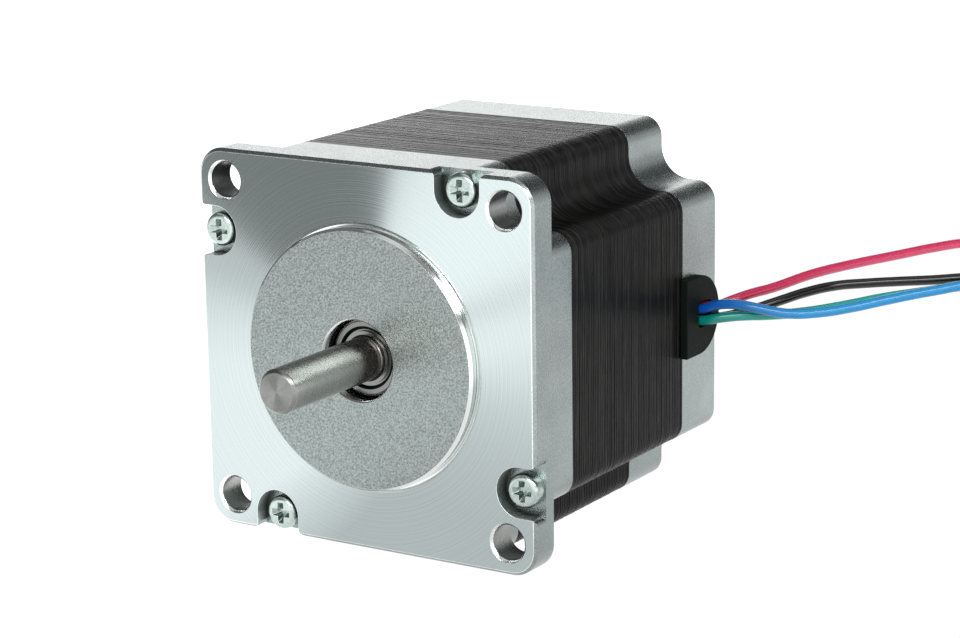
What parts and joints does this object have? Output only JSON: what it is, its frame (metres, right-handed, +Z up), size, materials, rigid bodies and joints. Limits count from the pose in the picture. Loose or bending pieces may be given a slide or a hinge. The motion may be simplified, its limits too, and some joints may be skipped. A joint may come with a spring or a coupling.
{
  "type": "hybrid stepper motor",
  "caption": "Square-flanged hybrid stepper motor with a plain round shaft, a notched laminated core between cast covers, and flying leads from a side grommet.",
  "frame": {"origin": "centre of the mounting face, on the shaft axis", "axes": "-Y along the shaft, out of the mounting face; +Y towards the rear cover; +Z up as the motor lies on its lower flat; +X towards the lead grommet"},
  "size_m": [0.1343, 0.1202, 0.0564],
  "materials": {
    "front_aluminium": "cast and fine blasted, front face turned",
    "rear_aluminium": "cast and fine blasted",
    "black_core": "thin black lacquer over stamped edges",
    "screw_steel": "zinc plated",
    "insulator_nylon": "moulded",
    "phase_a_copper": "enamelled copper wire",
    "phase_b_copper": "enamelled copper wire",
    "board_laminate": "glass-fibre board",
    "grommet_rubber": "matte moulded",
    "spring_steel": "hardened strip",
    "ring_steel": "ground",
    "shield_steel": "pressed sheet",
    "ball_steel": "polished",
    "cage_brass": "pressed",
    "shaft_steel": "ground",
    "rotor_steel": "stamped and ground",
    "magnet_black": "sintered",
    "spacer_brass": "turned",
    "red_jacket": "wire insulation",
    "black_jacket": "wire insulation",
    "blue_jacket": "wire insulation",
    "green_jacket": "wire insulation",
    "tinned_copper": "tinned strands",
    "tie_nylon": "moulded"
  },
  "bodies": {
    "housing": {"front_cover": "front_aluminium", "stator_core": "black_core", "rear_cover": "rear_aluminium", "body_screws": "screw_steel", "front_insulator": "insulator_nylon", "rear_insulator": "insulator_nylon", "phase_a_windings": "phase_a_copper", "phase_b_windings": "phase_b_copper", "terminal_board": "board_laminate", "lead_grommet": "grommet_rubber", "wave_washer": "spring_steel", "front_bearing_outer_ring": "ring_steel", "front_bearing_shields": "shield_steel", "rear_bearing_outer_ring": "ring_steel", "rear_bearing_shields": "shield_steel", "red_lead": "red_jacket", "black_lead": "black_jacket", "blue_lead": "blue_jacket", "green_lead": "green_jacket", "red_lead_coil": "red_jacket", "black_lead_coil": "black_jacket", "blue_lead_coil": "blue_jacket", "green_lead_coil": "green_jacket", "tinned_ends": "tinned_copper", "coil_tie": "tie_nylon"},
    "rotor": {"output_shaft": "shaft_steel", "front_rotor_cup": "rotor_steel", "rotor_magnet": "magnet_black", "rear_rotor_cup": "rotor_steel", "rotor_spacers": "spacer_brass", "front_bearing_inner_ring": "ring_steel", "rear_bearing_inner_ring": "ring_steel"},
    "front_ball_train": {"front_bearing_cage": "cage_brass", "front_bearing_balls": "ball_steel"},
    "rear_ball_train": {"rear_bearing_cage": "cage_brass", "rear_bearing_balls": "ball_steel"}
  },
  "joints": [
    {"name": "rotor_spin", "type": "hinge", "parent": "housing", "child": "rotor", "pos_m": [0, 0, 0], "axis": [0, 1, 0], "continuous": true},
    {"name": "front_cage_spin", "type": "hinge", "parent": "housing", "child": "front_ball_train", "pos_m": [0, 0.00289, 0], "axis": [0, 1, 0], "continuous": true},
    {"name": "rear_cage_spin", "type": "hinge", "parent": "housing", "child": "rear_ball_train", "pos_m": [0, 0.04821, 0], "axis": [0, 1, 0], "continuous": true}
  ],
  "couplings": [
    {"joint": "front_cage_spin", "follows": "rotor_spin", "ratio": 0.39291},
    {"joint": "rear_cage_spin", "follows": "rotor_spin", "ratio": 0.39291}
  ]
}
